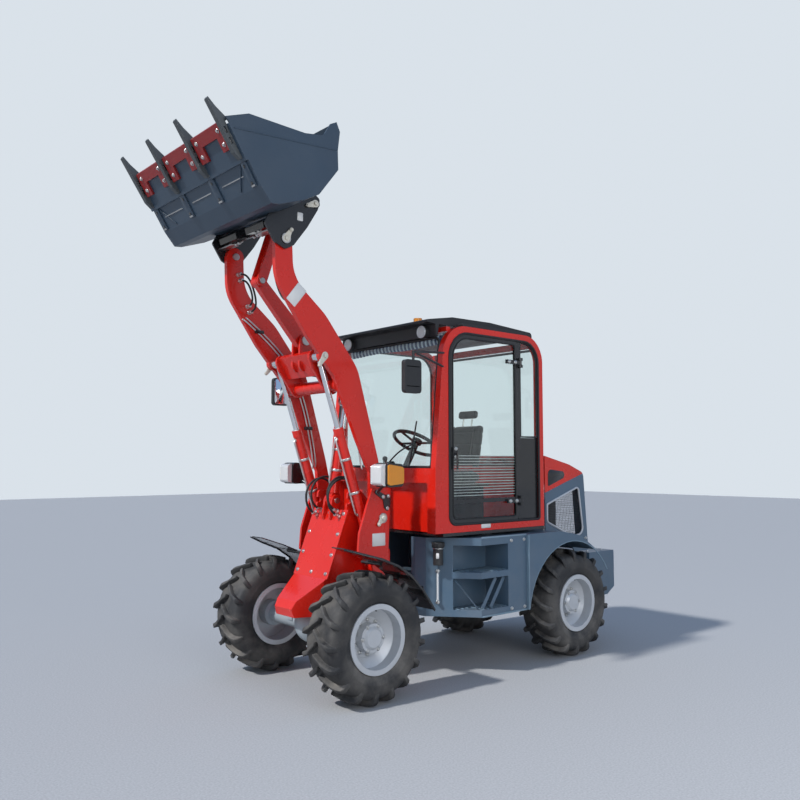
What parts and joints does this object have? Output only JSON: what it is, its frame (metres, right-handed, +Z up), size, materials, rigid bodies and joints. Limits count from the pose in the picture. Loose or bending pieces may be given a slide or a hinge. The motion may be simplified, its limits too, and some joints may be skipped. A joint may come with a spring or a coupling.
{
  "type": "articulated wheel loader",
  "caption": "Compact articulated wheel loader with a raised twin-arm boom, toothed bucket, quick hitch, closed cab, bar-lug tyres, side steps and a rear counterweight.",
  "frame": {"origin": "centre of the machine's bounding box, on the ground", "axes": "+X forward, +Y to the machine's left, +Z up; the boom stands raised as in the picture"},
  "size_m": [4.0674, 1.624, 3.7139],
  "materials": {
    "red_paint": "gloss red enamel",
    "grey_paint": "blue-grey enamel",
    "bucket_paint": "dark blue-grey enamel, scuffed below",
    "edge_red": "dark red enamel",
    "black_paint": "gloss black enamel",
    "black_plastic": "black moulded plastic",
    "axle_grey": "light grey enamel",
    "steel": "ground steel",
    "chrome": "hard chrome",
    "rim_silver": "silver enamel",
    "tyre": "black rubber",
    "glass": "clear safety glass",
    "lens": "clear and amber lamp lenses",
    "blind_cloth": "pleated blue cloth",
    "seat_cloth": "black seat cover",
    "hose_rubber": "black hydraulic hose"
  },
  "bodies": {
    "rear_frame": {"rear_chassis": "grey_paint", "chassis_pins": "steel", "rear_axle": "grey_paint", "counterweight": "grey_paint", "engine": "black_paint", "side_boxes": "grey_paint", "filler": "black_plastic", "rear_fenders": "grey_paint", "cab_frame": "red_paint", "cab_roof": "black_plastic", "cab_floor": "black_paint", "cab_glass": "glass", "door_post": "black_paint", "seat_base": "black_paint", "seat": "seat_cloth", "steering_wheel": "black_plastic", "sun_blind": "blind_cloth", "mirrors": "black_paint", "roof_lamps": "black_plastic"},
    "front_frame": {"front_frame": "red_paint", "front_pins": "steel", "front_axle": "axle_grey", "front_fenders": "black_paint", "lamp_housings": "black_paint", "lamp_lenses": "lens", "tower_hoses": "hose_rubber"},
    "boom": {"boom": "red_paint", "arm_hoses": "hose_rubber"},
    "hitch_pins": {"hitch_pins": "steel"},
    "bucket": {"hitch": "black_paint", "bucket": "bucket_paint", "bucket_edge": "edge_red"},
    "crank_pin": {"crank_pin": "steel"},
    "crank": {"crank": "red_paint"},
    "link_pin": {"link_pin": "steel"},
    "link": {"link": "red_paint"},
    "tilt_base_pin": {"tilt_base_pin": "steel"},
    "tilt_barrel": {"tilt_barrel": "red_paint"},
    "tilt_rod": {"tilt_rod": "chrome"},
    "door": {"door": "black_paint", "door_glass": "glass"},
    "hood": {"hood_top": "red_paint", "hood_sides": "grey_paint", "hood_grilles": "black_plastic"},
    "wheel_front_left": {"tyre_front_left": "tyre", "rim_front_left": "rim_silver"},
    "wheel_front_right": {"tyre_front_right": "tyre", "rim_front_right": "rim_silver"},
    "wheel_rear_left": {"tyre_rear_left": "tyre", "rim_rear_left": "rim_silver"},
    "wheel_rear_right": {"tyre_rear_right": "tyre", "rim_rear_right": "rim_silver"},
    "lift_barrel_left": {"lift_barrel_left": "red_paint"},
    "lift_barrel_right": {"lift_barrel_right": "red_paint"},
    "lift_rod_left": {"lift_rod_left": "chrome"},
    "lift_rod_right": {"lift_rod_right": "chrome"},
    "steer_barrel_left": {"steer_barrel_left": "black_paint"},
    "steer_barrel_right": {"steer_barrel_right": "black_paint"},
    "steer_rod_left": {"steer_rod_left": "chrome"},
    "steer_rod_right": {"steer_rod_right": "chrome"}
  },
  "joints": [
    {"name": "steer", "type": "hinge", "parent": "rear_frame", "child": "front_frame", "pos_m": [0.1013, 0, 0.593], "axis": [0, 0, 1], "range_deg": [-32, 32]},
    {"name": "roll_front_left", "type": "hinge", "parent": "front_frame", "child": "wheel_front_left", "pos_m": [0.8263, 0.58, 0.415], "axis": [0, 1, 0], "continuous": true},
    {"name": "roll_front_right", "type": "hinge", "parent": "front_frame", "child": "wheel_front_right", "pos_m": [0.8263, -0.58, 0.415], "axis": [0, 1, 0], "continuous": true},
    {"name": "roll_rear_left", "type": "hinge", "parent": "rear_frame", "child": "wheel_rear_left", "pos_m": [-1.2237, 0.58, 0.415], "axis": [0, 1, 0], "continuous": true},
    {"name": "roll_rear_right", "type": "hinge", "parent": "rear_frame", "child": "wheel_rear_right", "pos_m": [-1.2237, -0.58, 0.415], "axis": [0, 1, 0], "continuous": true},
    {"name": "boom_lift", "type": "hinge", "parent": "front_frame", "child": "boom", "pos_m": [0.5013, 0, 1.145], "axis": [0, 1, 0], "range_deg": [0, 92]},
    {"name": "hitch_level", "type": "hinge", "parent": "boom", "child": "hitch_pins", "pos_m": [1.3153, 0, 2.985], "axis": [0, -1, 0], "range_deg": [0, 78.4]},
    {"name": "bucket_tilt", "type": "hinge", "parent": "hitch_pins", "child": "bucket", "pos_m": [1.3153, 0, 2.985], "axis": [0, -1, 0], "range_deg": [-100, 0]},
    {"name": "crank_level", "type": "hinge", "parent": "boom", "child": "crank_pin", "pos_m": [0.9493, 0, 2.383], "axis": [0, -1, 0], "range_deg": [-18.05, 0]},
    {"name": "crank_turn", "type": "hinge", "parent": "crank_pin", "child": "crank", "pos_m": [0.9493, 0, 2.383], "axis": [0, -1, 0], "range_deg": [0, 17]},
    {"name": "link_pin_turn", "type": "hinge", "parent": "crank", "child": "link_pin", "pos_m": [1.3033, 0, 2.759], "axis": [0, -1, 0], "range_deg": [-88.2, 0]},
    {"name": "link_turn", "type": "hinge", "parent": "link_pin", "child": "link", "pos_m": [1.3033, 0, 2.759], "axis": [0, -1, 0], "range_deg": [0, 55.22]},
    {"name": "tilt_foot_turn", "type": "hinge", "parent": "front_frame", "child": "tilt_base_pin", "pos_m": [0.6703, 0, 1.259], "axis": [0, -1, 0], "range_deg": [-7.3, 0]},
    {"name": "tilt_barrel_turn", "type": "hinge", "parent": "tilt_base_pin", "child": "tilt_barrel", "pos_m": [0.6703, 0, 1.259], "axis": [0, -1, 0], "range_deg": [-106, 0]},
    {"name": "tilt_rod_slide", "type": "slide", "parent": "tilt_barrel", "child": "tilt_rod", "axis": [-0.1564, 0, 0.9877], "range_m": [-0.1197, 0]},
    {"name": "lift_barrel_turn_left", "type": "hinge", "parent": "front_frame", "child": "lift_barrel_left", "pos_m": [0.4813, 0.255, 0.8], "axis": [0, -1, 0], "range_deg": [-77.76, 0]},
    {"name": "lift_rod_slide_left", "type": "slide", "parent": "lift_barrel_left", "child": "lift_rod_left", "axis": [0.3262, 0, 0.9453], "range_m": [-0.3832, 0]},
    {"name": "lift_barrel_turn_right", "type": "hinge", "parent": "front_frame", "child": "lift_barrel_right", "pos_m": [0.4813, -0.255, 0.8], "axis": [0, -1, 0], "range_deg": [-77.76, 0]},
    {"name": "lift_rod_slide_right", "type": "slide", "parent": "lift_barrel_right", "child": "lift_rod_right", "axis": [0.3262, 0, 0.9453], "range_m": [-0.3832, 0]},
    {"name": "steer_barrel_turn_left", "type": "hinge", "parent": "rear_frame", "child": "steer_barrel_left", "pos_m": [-0.2687, 0.205, 0.593], "axis": [0, 0, 1], "range_deg": [-12.04, 12.04]},
    {"name": "steer_rod_slide_left", "type": "slide", "parent": "steer_barrel_left", "child": "steer_rod_left", "axis": [0.9983, 0.0578, 0], "range_m": [-0.1253, 0.1253]},
    {"name": "steer_barrel_turn_right", "type": "hinge", "parent": "rear_frame", "child": "steer_barrel_right", "pos_m": [-0.2687, -0.205, 0.593], "axis": [0, 0, 1], "range_deg": [-12.04, 12.04]},
    {"name": "steer_rod_slide_right", "type": "slide", "parent": "steer_barrel_right", "child": "steer_rod_right", "axis": [0.9983, -0.0578, 0], "range_m": [-0.1253, 0.1253]},
    {"name": "door_swing", "type": "hinge", "parent": "rear_frame", "child": "door", "pos_m": [-0.6537, 0.632, 1.77], "axis": [0, 0, 1], "range_deg": [0, 95]},
    {"name": "hood_lift", "type": "hinge", "parent": "rear_frame", "child": "hood", "pos_m": [-1.1537, 0, 1.545], "axis": [0, 1, 0], "range_deg": [0, 50]}
  ],
  "couplings": [
    {"joint": "hitch_level", "follows": "boom_lift", "ratio": 0.85},
    {"joint": "crank_level", "follows": "boom_lift", "ratio": -0.194},
    {"joint": "crank_turn", "follows": "bucket_tilt", "ratio": -0.168},
    {"joint": "link_pin_turn", "follows": "bucket_tilt", "ratio": 0.88},
    {"joint": "link_turn", "follows": "boom_lift", "ratio": 0.598},
    {"joint": "tilt_foot_turn", "follows": "bucket_tilt", "ratio": 0.071},
    {"joint": "tilt_barrel_turn", "follows": "boom_lift", "ratio": -1.15},
    {"joint": "tilt_rod_slide", "follows": "bucket_tilt", "m_per_rad": 0.068},
    {"joint": "lift_barrel_turn_left", "follows": "boom_lift", "ratio": -0.843},
    {"joint": "lift_rod_slide_left", "follows": "boom_lift", "m_per_rad": -0.238},
    {"joint": "lift_barrel_turn_right", "follows": "boom_lift", "ratio": -0.843},
    {"joint": "lift_rod_slide_right", "follows": "boom_lift", "m_per_rad": -0.238},
    {"joint": "steer_barrel_turn_left", "follows": "steer", "ratio": 0.37},
    {"joint": "steer_rod_slide_left", "follows": "steer", "m_per_rad": -0.2225},
    {"joint": "steer_barrel_turn_right", "follows": "steer", "ratio": 0.37},
    {"joint": "steer_rod_slide_right", "follows": "steer", "m_per_rad": 0.2225}
  ]
}
